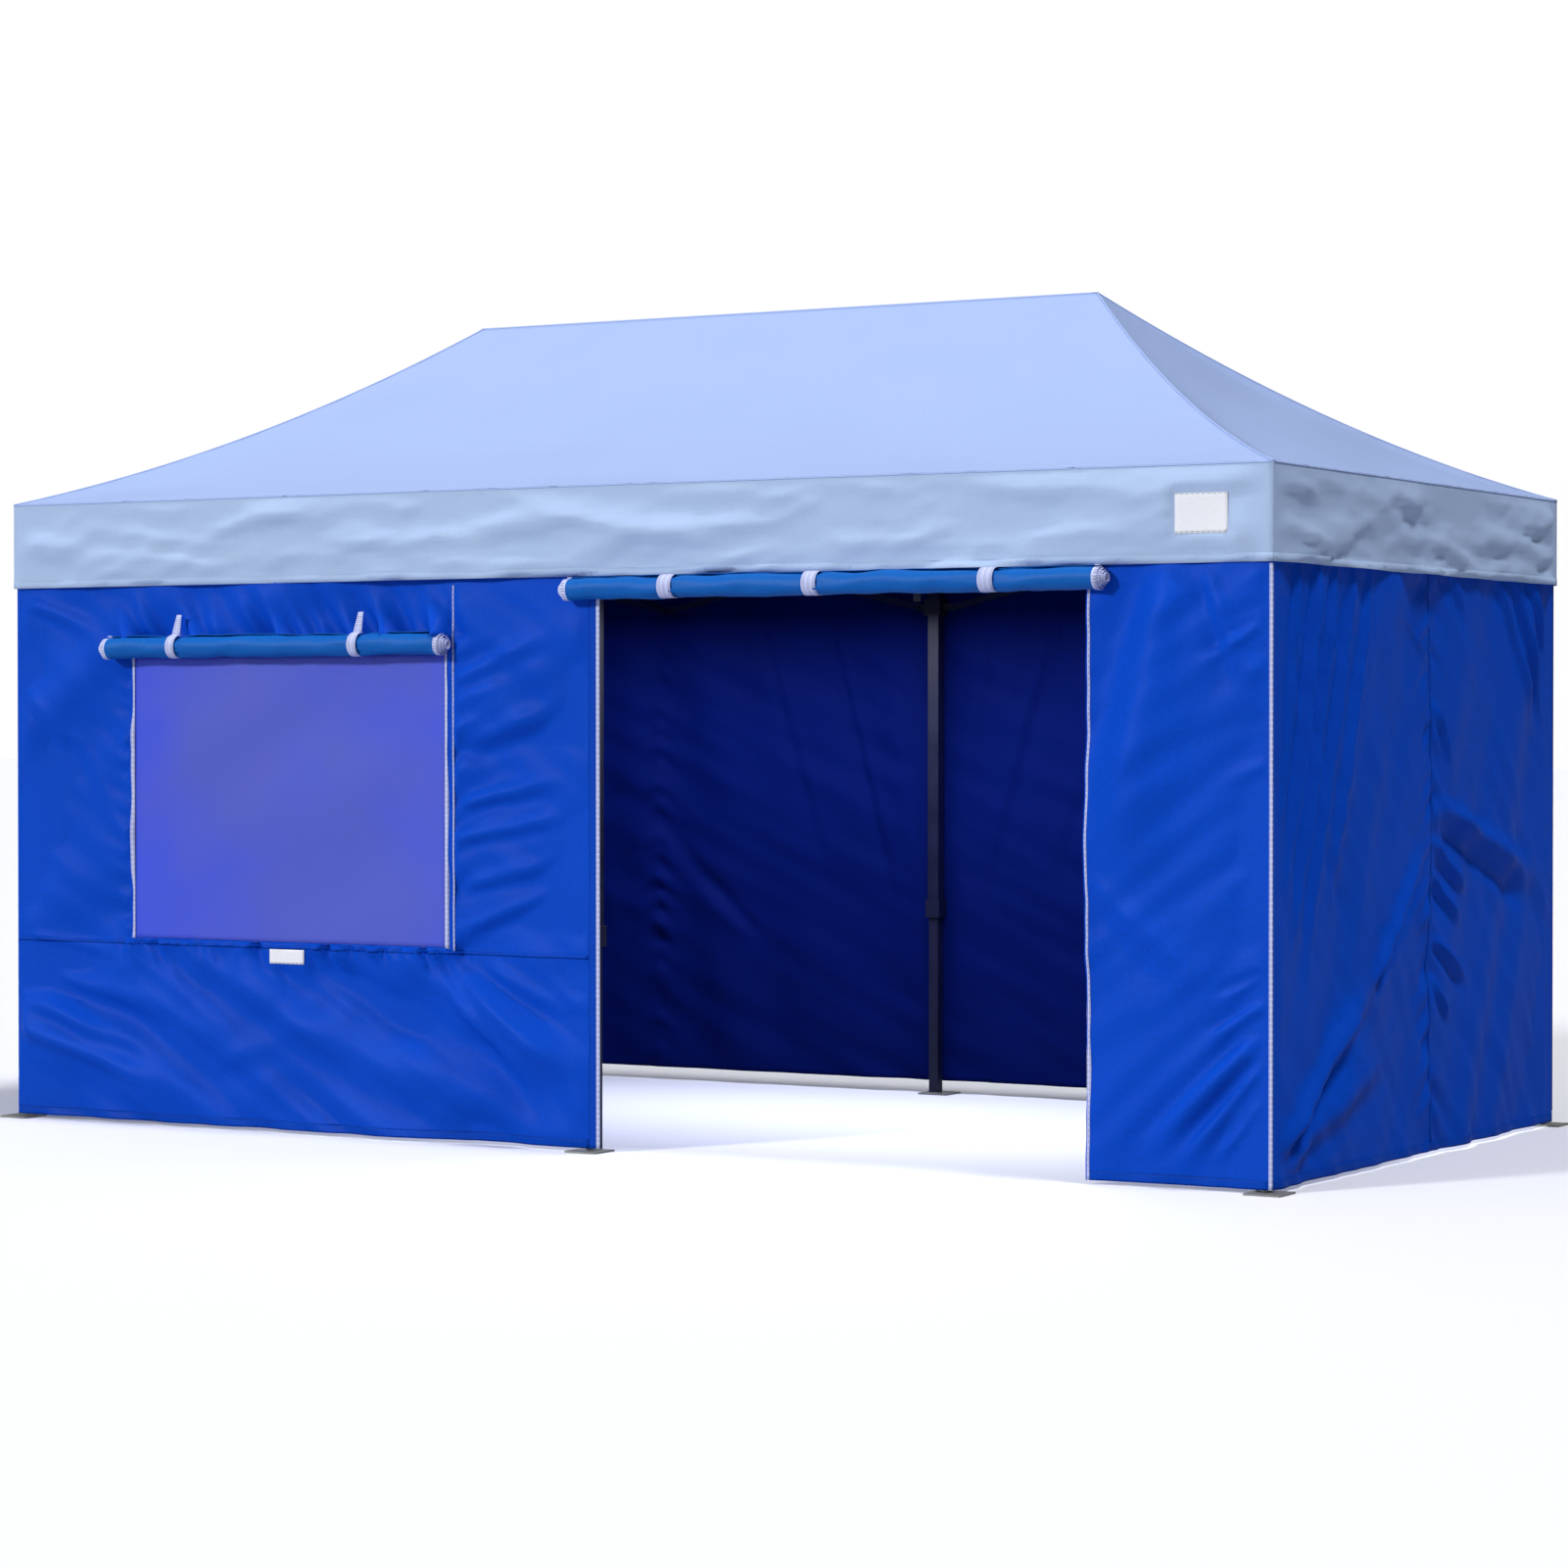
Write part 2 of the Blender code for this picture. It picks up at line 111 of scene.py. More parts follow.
# %% Colour and node helpers
def linear(code):
    """An sRGB hex colour as linear RGBA."""
    parts = [int(code[i : i + 2], 16) / 255 for i in (0, 2, 4)]
    return [p / 12.92 if p <= 0.04045 else ((p + 0.055) / 1.055) ** 2.4 for p in parts] + [1.0]


def add_node(tree, kind, values=None, **settings):
    """A shader node with its settings. A value may be a number, a colour, or (node, output name)."""
    node = tree.nodes.new(kind)
    for key, value in settings.items():
        setattr(node, key, value)
    for key, value in (values or {}).items():
        if isinstance(value, tuple) and isinstance(value[0], bpy.types.Node):
            tree.links.new(value[0].outputs[value[1]], node.inputs[key])
        else:
            node.inputs[key].default_value = value
    return node


def new_material(name):
    material = bpy.data.materials.new(name)
    material.use_nodes = True
    material.node_tree.nodes.clear()
    return material, material.node_tree


# %% Floor
floor_mesh = bmesh.new()
bmesh.ops.create_grid(floor_mesh, x_segments=1, y_segments=1, size=120)
floor_data = bpy.data.meshes.new("floor")
floor_mesh.to_mesh(floor_data)
floor_mesh.free()
floor = bpy.data.objects.new("floor", floor_data)
floor.location.z = -0.001
bpy.context.scene.collection.objects.link(floor)
floor_paint, tree = new_material("white_studio_floor")
# the floor looks white but throws little light back, so the walls stay darker towards the ground
ray = add_node(tree, "ShaderNodeLightPath")
paint = add_node(
    tree,
    "ShaderNodeMix",
    {0: (ray, "Is Camera Ray"), 6: linear("A8ABB4"), 7: linear("F6F7FA")},
    data_type="RGBA",
)
shader = add_node(tree, "ShaderNodeBsdfPrincipled", {"Base Color": (paint, 2), "Roughness": 0.9})
add_node(tree, "ShaderNodeOutputMaterial", {"Surface": (shader, "BSDF")})
floor_data.materials.append(floor_paint)

# %% Surround and suns
world = bpy.data.worlds.new("white_surround")
world.use_nodes = True
tree = world.node_tree
tree.nodes.clear()
seen = add_node(tree, "ShaderNodeBackground", {"Color": linear("FFFFFF"), "Strength": 1.0})
# the far right of the surround is dim, so that the end wall has no pale sheen on it
place = add_node(tree, "ShaderNodeTexCoord")
toward = add_node(
    tree, "ShaderNodeVectorMath", {0: (place, "Generated"), 1: (0.6, 0.8, 0.0)}, operation="DOT_PRODUCT"
)
dim = add_node(
    tree,
    "ShaderNodeMapRange",
    {"Value": (toward, "Value"), "From Min": 0.0, "From Max": 0.7, "To Min": 0.36, "To Max": 0.05},
)
glow = add_node(
    tree, "ShaderNodeBackground", {"Color": linear("F3F6FF"), "Strength": (dim, "Result")}
)
ray = add_node(tree, "ShaderNodeLightPath")
mixed = add_node(tree, "ShaderNodeMixShader", {0: (ray, "Is Camera Ray"), 1: (glow, 0), 2: (seen, 0)})
add_node(tree, "ShaderNodeOutputWorld", {"Surface": (mixed, 0)})
bpy.context.scene.world = world


def add_sun(name, toward, strength, soft_deg):
    """A sun whose light comes from the direction toward."""
    data = bpy.data.lights.new(name, "SUN")
    data.energy = strength
    data.angle = math.radians(soft_deg)
    lamp = bpy.data.objects.new(name, data)
    lamp.rotation_euler = Vector(toward).to_track_quat("Z", "Y").to_euler()
    bpy.context.scene.collection.objects.link(lamp)


add_sun("key_sun", (-0.45, -0.85, 0.42), 2.05, 8)
add_sun("top_sun", (0.42, -0.05, 1.0), 2.0, 12)

# %% Fill light under the roof
fill_data = bpy.data.lights.new("room_fill", "AREA")
fill_data.shape = "RECTANGLE"
fill_data.size = 3.6
fill_data.size_y = 0.8
fill_data.energy = 75
fill_data.color = linear("E6EAFF")[:3]
fill = bpy.data.objects.new("room_fill", fill_data)
fill.location = (0.2, 0.35, 1.84)
fill.visible_camera = False
bpy.context.scene.collection.objects.link(fill)

# %% [markdown]
# ## Materials
# The cover and walls are coated polyester oxford cloth. Up close it is a plain weave with a faint
# gloss from the coating; from a few metres it is an even colour with soft, broken highlights on
# the folds. The real threads are 0.4 mm apart, too fine to show, so the weave is drawn 5 mm apart.
# It follows each piece's own UV map, which is in metres of flat cloth, so it bends with the folds.


# %% Cloth
def cloth(name, colour, shade, thread_mm, roughness, specular=0.35, stitches=0.0):
    """Coated woven polyester. stitches is the width in metres of a tape with a row along each edge."""
    material, tree = new_material(name)
    uv = add_node(tree, "ShaderNodeUVMap", uv_map="Cloth")
    scale = 1000 / thread_mm / 20 * math.pi  # a wave texture of scale s repeats every pi / (10 s)
    threads = [
        add_node(
            tree,
            "ShaderNodeTexWave",
            {"Vector": (uv, "UV"), "Scale": scale, "Distortion": 0.5, "Detail": 1.0},
            bands_direction=way,
        )
        for way in "XY"
    ]
    weave = add_node(
        tree, "ShaderNodeMath", {0: (threads[0], "Fac"), 1: (threads[1], "Fac")}, operation="MULTIPLY"
    )
    drift = add_node(tree, "ShaderNodeTexNoise", {"Vector": (uv, "UV"), "Scale": 1.7, "Detail": 6.0})
    slub = add_node(tree, "ShaderNodeTexNoise", {"Vector": (uv, "UV"), "Scale": 60.0, "Detail": 2.0})
    tone = add_node(
        tree,
        "ShaderNodeMath",
        {0: (drift, "Fac"), 1: (slub, "Fac"), 2: 0.3},
        operation="MULTIPLY_ADD",
    )
    mix = add_node(
        tree,
        "ShaderNodeMix",
        {0: (tone, "Value"), 6: linear(shade), 7: linear(colour)},
        data_type="RGBA",
    )
    height = weave
    colour_from = (mix, 2)
    if stitches:
        split = add_node(tree, "ShaderNodeSeparateXYZ", {0: (uv, "UV")})
        dash = add_node(tree, "ShaderNodeMath", {0: (split, "X"), 1: 0.009}, operation="PINGPONG")
        shown = add_node(tree, "ShaderNodeMath", {0: (dash, "Value"), 1: 0.0028}, operation="GREATER_THAN")
        row = add_node(tree, "ShaderNodeMath", {0: (split, "Y"), 1: stitches / 2}, operation="PINGPONG")
        near = add_node(
            tree,
            "ShaderNodeMath",
            {0: (row, "Value"), 1: 0.003, 2: 0.0011},
            operation="COMPARE",
        )
        thread = add_node(
            tree, "ShaderNodeMath", {0: (shown, "Value"), 1: (near, "Value")}, operation="MULTIPLY"
        )
        height = add_node(
            tree,
            "ShaderNodeMath",
            {0: (thread, "Value"), 1: 2.5, 2: (weave, "Value")},
            operation="MULTIPLY_ADD",
        )
        thread_colour = [c * 0.55 for c in linear(shade)[:3]] + [1.0]
        sewn = add_node(
            tree,
            "ShaderNodeMix",
            {0: (thread, "Value"), 6: (mix, 2), 7: thread_colour},
            data_type="RGBA",
        )
        colour_from = (sewn, 2)
    rough = add_node(
        tree,
        "ShaderNodeMapRange",
        {"Value": (drift, "Fac"), "To Min": roughness - 0.07, "To Max": roughness + 0.07},
    )
    raised = add_node(
        tree, "ShaderNodeBump", {"Height": (height, "Value"), "Strength": 0.25, "Distance": 0.0006}
    )
    shader = add_node(
        tree,
        "ShaderNodeBsdfPrincipled",
        {
            "Base Color": colour_from,
            "Roughness": (rough, "Result"),
            "Normal": (raised, "Normal"),
            "IOR": 1.3,
            "Specular IOR Level": specular,
        },
    )
    add_node(tree, "ShaderNodeOutputMaterial", {"Surface": (shader, "BSDF")})
    return material


WALL_CLOTH = cloth("royal_blue_oxford", "074ED0", "043CA6", 5.0, 0.5, 0.12)
WALL_HEM = cloth("royal_blue_hem", "064AC6", "04389A", 5.0, 0.5, 0.12, stitches=0.03)
# painted shade: the inside face of every wall is the same cloth, coloured near-black navy so the room
# inside reads dim
LINING_PAINTED_SHADE = cloth("wall_inside_painted_shade", "02145C", "020F4A", 5.0, 0.7, 0.08)
ROLL_CLOTH = cloth("rolled_flap_oxford", "0A68C0", "064C9C", 5.0, 0.52, 0.35)
ROOF_CLOTH = cloth("pale_blue_oxford", "A6BAE6", "9DB1DE", 5.0, 0.6, 0.15)
# painted light: the valance is the roof cloth, coloured a little lighter and greener for the way light
# falls on it
VALANCE_PAINTED_LIGHT = cloth("pale_blue_valance_painted_light", "AFC6E4", "A5B8DC", 5.0, 0.55, 0.2)
TAPE = cloth("white_zip_tape", "D6DAF6", "B2BCEC", 3.0, 0.6, 0.15, stitches=0.014)
PATCH = cloth("white_patch", "F4F5F8", "E4E6EC", 3.0, 0.6, 0.25, stitches=0.12)


# %% [markdown]
# The window is soft PVC film: smooth and slightly cloudy. It is an opaque sheet, and its colour is painted
# shade: the dark blue of the dim room behind it. Its dull gloss comes from a low roughness and a slow
# ripple.


# %% Window film
def film(name):
    material, tree = new_material(name)
    place = add_node(tree, "ShaderNodeTexCoord")
    cloud = add_node(
        tree, "ShaderNodeTexNoise", {"Vector": (place, "Object"), "Scale": 1.3, "Detail": 4.0}
    )
    spread = add_node(
        tree, "ShaderNodeMapRange", {"Value": (cloud, "Fac"), "From Min": 0.35, "From Max": 0.65}
    )
    # painted shade: the film's two blues stand for the dim room seen through it, uneven in broad clouds
    mix = add_node(
        tree,
        "ShaderNodeMix",
        {0: (spread, "Result"), 6: linear("3C52DA"), 7: linear("505CC4")},
        data_type="RGBA",
    )
    ripple_tex = add_node(
        tree, "ShaderNodeTexNoise", {"Vector": (place, "Object"), "Scale": 9.0, "Detail": 2.0}
    )
    raised = add_node(
        tree, "ShaderNodeBump", {"Height": (ripple_tex, "Fac"), "Strength": 0.2, "Distance": 0.003}
    )
    shader = add_node(
        tree,
        "ShaderNodeBsdfPrincipled",
        {
            "Base Color": (mix, 2),
            "Roughness": 0.36,
            "Normal": (raised, "Normal"),
            "Specular IOR Level": 0.3,
        },
    )
    add_node(tree, "ShaderNodeOutputMaterial", {"Surface": (shader, "BSDF")})
    return material


FILM = film("pvc_film_painted_room_shade")


# %% [markdown]
# The frame is square steel tube with a dark hammered powder coat, and its feet are bare zinc plate with a
# grey spangle. The coat's dark navy is partly painted shade: it is set as dark and as blue as the legs
# look in the shaded room. The sliders are black moulded nylon.


# %% Hard materials
def hard(name, light, dark, roughness, metallic, grain_mm, depth_mm, foot=None):
    """A hard finish with a fine grain. foot is the colour pair of bare plate at ground level."""
    material, tree = new_material(name)
    place = add_node(tree, "ShaderNodeTexCoord")
    grain = add_node(
        tree,
        "ShaderNodeTexNoise",
        {"Vector": (place, "Object"), "Scale": 1000 / grain_mm / 3, "Detail": 3.0},
    )
    stain = add_node(
        tree, "ShaderNodeTexNoise", {"Vector": (place, "Object"), "Scale": 9.0, "Detail": 6.0}
    )
    mix = add_node(
        tree,
        "ShaderNodeMix",
        {0: (stain, "Fac"), 6: linear(dark), 7: linear(light)},
        data_type="RGBA",
    )
    colour, metal = (mix, 2), metallic
    if foot:
        split = add_node(tree, "ShaderNodeSeparateXYZ", {0: (place, "Object")})
        low = add_node(tree, "ShaderNodeMath", {0: (split, "Z"), 1: 0.009}, operation="LESS_THAN")
        plate = add_node(
            tree,
            "ShaderNodeMix",
            {0: (stain, "Fac"), 6: linear(foot[1]), 7: linear(foot[0])},
            data_type="RGBA",
        )
        both = add_node(
            tree,
            "ShaderNodeMix",
            {0: (low, "Value"), 6: (mix, 2), 7: (plate, 2)},
            data_type="RGBA",
        )
        colour = (both, 2)
        metal = add_node(tree, "ShaderNodeMath", {0: (low, "Value"), 1: 0.45}, operation="MULTIPLY")
        metal = (metal, "Value")
    rough = add_node(
        tree,
        "ShaderNodeMapRange",
        {"Value": (stain, "Fac"), "To Min": roughness - 0.1, "To Max": roughness + 0.1},
    )
    raised = add_node(
        tree,
        "ShaderNodeBump",
        {"Height": (grain, "Fac"), "Strength": 0.35, "Distance": depth_mm / 1000},
    )
    shader = add_node(
        tree,
        "ShaderNodeBsdfPrincipled",
        {
            "Base Color": colour,
            "Roughness": (rough, "Result"),
            "Normal": (raised, "Normal"),
            "Metallic": metal,
        },
    )
    add_node(tree, "ShaderNodeOutputMaterial", {"Surface": (shader, "BSDF")})
    return material


# part real dark coat, part painted shade: the frame and the legs are coloured as dark and as navy as the
# legs look in the shaded room
FRAME_COAT_AND_SHADE = hard("hammered_coat_and_painted_shade", "0B0E34", "070920", 0.42, 0.0, 3.0, 0.3)
LEG_COAT_AND_SHADE = hard("leg_coat_painted_shade_zinc_foot", "0B0E34", "070920", 0.45, 0.0, 3.0, 0.2, ("A8A8A0", "74746C"))
NYLON = hard("black_nylon", "17181C", "0E0F12", 0.5, 0.0, 2.0, 0.15)

# %% Give the frame its finishes
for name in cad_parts:
    node = bpy.data.objects.get(name)
    if node is None or node.type != "MESH" or not node.material_slots:
        continue
    finish = FRAME_COAT_AND_SHADE
    if name.startswith("inner_leg"):
        finish = LEG_COAT_AND_SHADE
    elif name.startswith("slider"):
        finish = NYLON
    for slot in node.material_slots:
        slot.material = finish

# %% [markdown]
# ## Riding and folding
# The frame folds like lazy tongs. Cloth can't follow that as a stiff sheet, so each piece rides on the leg
# or roof hinge that carries it.

# %% The body that carries each part of the cover, with its fold figures
FOLDED_BAY = 0.384  # leg spacing when the frame is folded
POST_TRAVEL = LEG_Y - FOLDED_BAY / 2
FRONT_KEEP = (FOLDED_BAY + WALL_X - LEG_X) / WALL_X
SIDE_KEEP = (FOLDED_BAY + 2 * (WALL_Y - LEG_Y)) / (2 * WALL_Y)
ROOF_KEEP = 0.30
END_KEEP = 0.46
ROOF_ANCHOR = -POST_TRAVEL / (1 - ROOF_KEEP)
GROUPS = {
    "front": ("frame", (1, 0, 0), (0, 0, 0), FRONT_KEEP),
    "back": ("leg_back_mid", (1, 0, 0), (0, 0, 0), FRONT_KEEP),
    "left": ("leg_front_left", (0, 1, 0), (0, -WALL_Y, 0), SIDE_KEEP),
    "right": ("leg_front_right", (0, 1, 0), (0, -WALL_Y, 0), SIDE_KEEP),
    "roof_front": ("roof_front", (1, 0, 0), (ROOF_ANCHOR, 0, 0), ROOF_KEEP),
    "roof_back": ("roof_back", (1, 0, 0), (ROOF_ANCHOR, 0, 0), ROOF_KEEP),
    "roof_left": ("roof_left", (0, 1, 0), (0, 0, 0), END_KEEP),
    "roof_right": ("roof_right", (0, 1, 0), (0, 0, 0), END_KEEP),
}


def attach(piece, group):
    body, axis, anchor, keep = GROUPS[group]
    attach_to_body(piece, body)
    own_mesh(piece)
    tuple(axis)
    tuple(anchor)
    return piece


# %% [markdown]
# ## Cloth from a grid
# A grid gives evenly spread vertices that can hold folds. Each is draped by a function that takes
# its place on the flat cloth, in metres, and says where it hangs. bmesh.ops.create_grid makes the
# faces, so this script never lists a face itself.


# %% Grid helpers
def add_grid(bm, low, high, cell, drape, cuts=(), hole=None):
    """Adds a draped grid to bm. low and high are its corners on the flat cloth, in metres."""
    old = set(bm.verts)
    spans = [high[i] - low[i] for i in (0, 1)]
    cells = [cell, cell] if isinstance(cell, float) else cell
    columns, rows = (max(1, round(spans[i] / cells[i])) for i in (0, 1))
    bmesh.ops.create_grid(bm, x_segments=columns, y_segments=rows, size=0.5)
    verts = [v for v in bm.verts if v not in old]
    for vert in verts:
        vert.co.x = low[0] + (vert.co.x + 0.5) * spans[0]
        vert.co.y = low[1] + (vert.co.y + 0.5) * spans[1]
    for direction, place in cuts:
        across = Vector((1, 0, 0)) if direction == "x" else Vector((0, 1, 0))
        geometry = verts + [e for e in bm.edges if e.verts[0] not in old]
        geometry += [f for f in bm.faces if f.verts[0] not in old]
        bmesh.ops.bisect_plane(bm, geom=geometry, dist=1e-5, plane_co=across * place, plane_no=across)
        verts = [v for v in bm.verts if v not in old]
    faces = [f for f in bm.faces if f.verts[0] not in old]
    if hole:
        inside = []
        for face in faces:
            centre = face.calc_center_median()
            if hole[0] < centre.x < hole[1] and hole[2] < centre.y < hole[3]:
                inside.append(face)
        bmesh.ops.delete(bm, geom=inside, context="FACES")
        faces = [f for f in bm.faces if f.verts[0] not in old]
        verts = [v for v in bm.verts if v not in old]
    uv = bm.loops.layers.uv.get("Cloth") or bm.loops.layers.uv.new("Cloth")
    for face in faces:
        face.smooth = True
        for loop in face.loops:
            loop[uv].uv = (loop.vert.co.x - low[0], loop.vert.co.y - low[1])
    for vert in verts:
        vert.co = drape(vert.co.x, vert.co.y)
    return faces


def make_piece(name, bm, materials, thickness=0.0, inner=0):
    """An object from bm. Its thickness goes behind the draped face, which can have its own lining."""
    mesh = bpy.data.meshes.new(name)
    bm.to_mesh(mesh)
    bm.free()
    for material in materials:
        mesh.materials.append(material)
    piece = bpy.data.objects.new(name, mesh)
    bpy.context.scene.collection.objects.link(piece)
    if thickness:
        solid = piece.modifiers.new("Thickness", "SOLIDIFY")
        solid.thickness = thickness
        solid.offset = -1
        solid.material_offset = inner
    return piece


def ease(value):
    """0 to 1 with a soft start and end."""
    value = min(1.0, max(0.0, value))
    return value * value * (3 - 2 * value)


# %% [markdown]
# ## How cloth creases
# Four kinds of fold are enough. Drift is the slow swelling of a loose sheet. Streaks are long, thin
# folds that all lean one way. Pucker is the short gathering beside a seam, deepest at the stitches.
# A crease is one single fold, a soft ridge beside a shallow valley, from one point to another.


# %% Kinds of fold
def streaks(x, z, angle_deg, length, width, seed):
    """Noise drawn out along angle_deg, between about -0.5 and 0.5."""
    turn = math.radians(angle_deg)
    along = x * math.cos(turn) + z * math.sin(turn)
    across = z * math.cos(turn) - x * math.sin(turn)
    return noise.noise(Vector((along / length, across / width, seed)))


def pucker(along, away, spacing, reach, seed, lean=0.0):
    """Short folds that run away from a seam and fade. along is measured on the seam."""
    if away < 0 or away > 4 * reach:
        return 0.0
    value = noise.noise(Vector(((along + lean * away) / spacing, away / (reach * 3), seed)))
    return math.exp(-away / reach) * ease(1 - away / (4 * reach)) * value * 2


def crease(x, z, start, end, width):
    """A single fold from start to end, up to 1 high."""
    dx, dz = end[0] - start[0], end[1] - start[1]
    length = math.hypot(dx, dz)
    share = ((x - start[0]) * dx + (z - start[1]) * dz) / (length * length)
    if share <= 0 or share >= 1:
        return 0.0
    off = ((x - start[0]) * dz - (z - start[1]) * dx) / length / (width * (0.55 + 0.45 * share))
    if abs(off) > 4:
        return 0.0
    taper = ease(share * 5) * ease((1 - share) * 2.5)
    return taper * (math.exp(-off * off) - 0.6 * math.exp(-((off - 1.5) ** 2)))


# %% [markdown]
# ## Roof cover
# Four panels of pale blue cloth, sewn along ridge and hips. They hang slightly hollow between the
# ridge and the eaves, because only the posts and the leg tops hold them up. Below the eaves the
# valance hangs straight, with soft level wrinkles from being folded in its bag.

# %% Roof surface
VALANCE_DROP = EAVE_Z - VALANCE_Z


def roof_drop(share):
    return (PEAK_Z - EAVE_Z) * ((1 + ROOF_SAG) * share - ROOF_SAG * share * share)


def roof_surface(ridge_half, eave_half, run, x, turn, seed, stiff=None):
    """Says where a point of a panel hangs. s runs along the eave, t down the slope and the valance.

    No wrinkle crosses stiff, a sewn patch given as s0, s1 and its two depths below the eave.
    """
    matrix = Matrix.Translation((x, 0, PEAK_Z)) @ Matrix.Rotation(turn, 4, "Z")
    slope = math.hypot(run, PEAK_Z - EAVE_Z)

    def surface(s, t, lift=0.0):
        side = s / eave_half
        if t <= slope:
            share = t / slope
            half = ridge_half + (eave_half - ridge_half) * share
            px, py = side * half, -run * share
            soft = ease(share * 4) * ease((1 - share) * 5) * ease((1 - abs(side)) * 8)
            swell = 0.020 * noise.noise(Vector((px / 0.8, py / 0.35, seed))) - 0.007
            pz = -roof_drop(share) + soft * swell
            to_hip = (1 - abs(side)) * half
            open_cloth = ease(share * 8) * ease(to_hip * 40)
            pz += 0.006 * pucker(share * run, to_hip, 0.07, 0.05, seed + 3) * open_cloth
            return matrix @ Vector((px, py, pz + lift))
        down = t - slope
        held = ease((eave_half - abs(s)) * 7) * ease(down * 14)
        wave = 0.036 * streaks(s, -down, 4, 0.60, 0.085, seed + 5)
        wave += 0.022 * streaks(s, -down, -7, 0.32, 0.045, seed + 9)
        wave += 0.012 * streaks(s, -down, 14, 0.20, 0.030, seed + 14)
        wave += 0.010 * pucker(s, down, 0.05, 0.03, seed + 2)
        if stiff:
            off = max(stiff[0] - s, s - stiff[1], stiff[2] - down, down - stiff[3])
            wave *= ease((off + 0.004) * 30)
        out = 0.001 + held * max(0.0, 0.010 + wave)
        return matrix @ Vector((s, -run - out - lift, -(PEAK_Z - EAVE_Z) - down))

    return surface, slope


PATCH_AREA = (2.131, 2.306, 0.089, 0.212)


def make_roof_panel(group, ridge_half, eave_half, run, x, turn, seed):
    stiff = PATCH_AREA if group == "roof_front" else None
    surface, slope = roof_surface(ridge_half, eave_half, run, x, turn, seed, stiff)
    bm = bmesh.new()
    corners = (-eave_half, 0), (eave_half, slope + VALANCE_DROP)
    # t runs down the slope, so the grid is turned over to keep its outer face up
    faces = add_grid(bm, *corners, 0.021, lambda s, t: surface(-s, t), [("y", slope)])
    # faces below the eave get the valance copy of the roof cloth, with its painted light
    low = EAVE_Z - 1e-4
    for face in faces:
        if face.calc_center_median().z < low:
            face.material_index = 1
    bmesh.ops.remove_doubles(bm, verts=bm.verts[:], dist=1e-5)
    return make_piece(group + "_cover", bm, [ROOF_CLOTH, VALANCE_PAINTED_LIGHT], 0.0012), surface, slope


ROOF = {}
for group, ridge_half, eave_half, run, x, turn, seed in (
    ("roof_front", RIDGE_HALF, EAVE_X, EAVE_Y, 0, 0, 1.7),
    ("roof_right", 0.0, EAVE_Y, EAVE_X - RIDGE_HALF, RIDGE_HALF, math.pi / 2, 4.1),
    ("roof_back", RIDGE_HALF, EAVE_X, EAVE_Y, 0, math.pi, 8.3),
    ("roof_left", 0.0, EAVE_Y, EAVE_X - RIDGE_HALF, -RIDGE_HALF, -math.pi / 2, 12.9),
):
    panel, surface, slope = make_roof_panel(group, ridge_half, eave_half, run, x, turn, seed)
    attach(panel, group)
    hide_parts(group)
    area = (ridge_half + eave_half) * slope + 2 * eave_half * VALANCE_DROP
    ROOF[group] = panel, surface, slope, ridge_half, eave_half, area
print("roof panels", list(ROOF))

# %% [markdown]
# ## Trims of the roof
# A narrow strip of the same cloth is folded over every seam and stitched down, which shows as a
# low piping along the ridge and hips and a doubled hem along the valance. A blank white patch is
# sewn near the front right corner.


# %% Piping, hem and patch
def add_piping(bm, path, length, radius):
    """A thin round cord of cloth over a seam. path gives a point and the outward direction there."""

    def drape(s, t):
        centre, out, ahead = path(t)
        across = ahead.cross(out).normalized()
        angle = s / radius
        return centre + radius * (math.sin(angle) * across + math.cos(angle) * out)

    add_grid(bm, (0, 0), (2 * math.pi * radius, length), (2 * math.pi * radius / 8, 0.03), drape)


def hip_path(surface, slope, eave_half, side):
    def path(t):
        def at(value):
            share = min(1.0, max(0.0, value / slope))
            return surface(side * eave_half * (1 - 1e-6), share * slope)

        ahead = (at(t + 0.01) - at(t - 0.01)).normalized()
        out = Vector((0, 0, 1)) - ahead * ahead.z
        return at(t), out.normalized(), ahead

    return path


for group, (panel, surface, slope, ridge_half, eave_half, area) in ROOF.items():
    bm = bmesh.new()
    if ridge_half:
        for side in (-1, 1):
            add_piping(bm, hip_path(surface, slope, eave_half, side), slope, 0.0038)
    if group == "roof_front":
        up, along = Vector((0, 0, 1)), Vector((1, 0, 0))
        ridge = lambda t: (Vector((t - RIDGE_HALF, 0, PEAK_Z - 0.001)), up, along)
        add_piping(bm, ridge, 2 * RIDGE_HALF, 0.0038)
    eave = lambda s, t: surface(-s, slope + t, 0.0012)
    fold = lambda s, t: surface(-s, slope + abs(t), 0.0014)
    add_grid(bm, (-eave_half, -0.004), (eave_half, 0.004), (0.03, 0.004), fold)
    low, high = (-eave_half, VALANCE_DROP - 0.026), (eave_half, VALANCE_DROP)
    # the valance hem strips get the same lighter copy, with its painted light
    for face in add_grid(bm, low, high, (0.03, 0.013), eave):
        face.material_index = 1
    trims = make_piece(group + "_piping", bm, [ROOF_CLOTH, VALANCE_PAINTED_LIGHT], 0.0009)
    attach(trims, group)
    if group == "roof_front":
        bm = bmesh.new()
        # the grid's X runs against the eave, so the patch is placed from its far end
        low, high = (-PATCH_AREA[1], PATCH_AREA[2]), (-PATCH_AREA[0], PATCH_AREA[3])
        add_grid(bm, low, high, 0.0125, lambda s, t: surface(-s, slope + t, 0.0026))
        patch = make_piece("valance_patch", bm, [PATCH], 0.0012)
        attach(patch, group)

# %% [markdown]
# ## Walls
# Each wall hangs from the truss on hook-and-loop tabs and is zipped to its neighbours, so it is
# held at its edges and loose between them. Where it passes a leg it can only bulge outwards. The
# long folds are listed one by one; each list entry is a crease with its two ends, width and
# depth.

# %% Folds of each wall
LEG_HALF = 0.05


